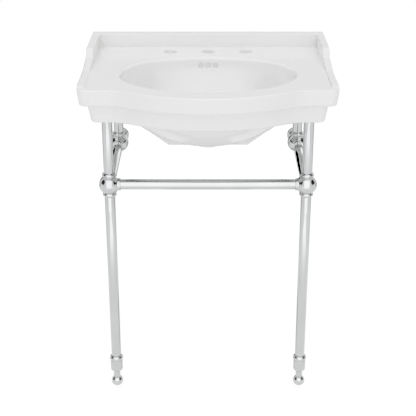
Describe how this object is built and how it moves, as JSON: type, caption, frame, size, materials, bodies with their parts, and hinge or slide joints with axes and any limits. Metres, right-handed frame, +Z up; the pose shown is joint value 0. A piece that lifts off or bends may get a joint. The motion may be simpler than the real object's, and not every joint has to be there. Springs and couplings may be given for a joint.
{
  "type": "console sink",
  "caption": "Wall-hung ceramic console sink with backsplash and oval bowl on a chromed tubular stand with two levelling front legs.",
  "frame": {"origin": "on the floor, midway between the sides and midway between the wall and the front of the bow", "axes": "+Z up, +Y towards the wall, +X to the right of a person facing the sink"},
  "size_m": [0.635, 0.5075, 0.9],
  "materials": {
    "china": "white gloss glaze",
    "chrome": "polished chrome plate on brass",
    "pad_rubber": "matt black",
    "brass": "turned, unplated",
    "screw_steel": "plain stainless steel"
  },
  "bodies": {
    "sink": {"basin": "china", "front_cross_rail": "chrome", "grub_screws": "screw_steel", "front_ball_joint_left": "chrome", "rear_ball_joint_left": "chrome", "front_upper_tube_left": "chrome", "rear_post_left": "chrome", "front_lower_tube_left": "chrome", "side_rail_left": "chrome", "wall_stub_left": "chrome", "wall_flange_left": "chrome", "leg_ferrule_left": "chrome", "front_support_pad_left": "pad_rubber", "rear_support_pad_left": "pad_rubber", "wall_anchor_left": "brass", "thread_insert_left": "brass", "front_ball_joint_right": "chrome", "rear_ball_joint_right": "chrome", "front_upper_tube_right": "chrome", "rear_post_right": "chrome", "front_lower_tube_right": "chrome", "side_rail_right": "chrome", "wall_stub_right": "chrome", "wall_flange_right": "chrome", "leg_ferrule_right": "chrome", "front_support_pad_right": "pad_rubber", "rear_support_pad_right": "pad_rubber", "wall_anchor_right": "brass", "thread_insert_right": "brass"},
    "left_foot": {"foot_ball_left": "chrome"},
    "left_stem": {"foot_stem_left": "chrome"},
    "right_foot": {"foot_ball_right": "chrome"},
    "right_stem": {"foot_stem_right": "chrome"}
  },
  "joints": [
    {"name": "left_foot_level", "type": "slide", "parent": "sink", "child": "left_foot", "axis": [0, 0, 1], "range_m": [-0.015, 0.012]},
    {"name": "left_stem_turn", "type": "hinge", "parent": "left_foot", "child": "left_stem", "pos_m": [-0.251, -0.128, 0.03], "axis": [0, 0, 1], "range_deg": [-3600, 2880]},
    {"name": "right_foot_level", "type": "slide", "parent": "sink", "child": "right_foot", "axis": [0, 0, 1], "range_m": [-0.015, 0.012]},
    {"name": "right_stem_turn", "type": "hinge", "parent": "right_foot", "child": "right_stem", "pos_m": [0.251, -0.128, 0.03], "axis": [0, 0, 1], "range_deg": [-3600, 2880]}
  ],
  "couplings": [
    {"joint": "left_stem_turn", "follows": "left_foot_level", "rad_per_m": 4188.8},
    {"joint": "right_stem_turn", "follows": "right_foot_level", "rad_per_m": 4188.8}
  ]
}
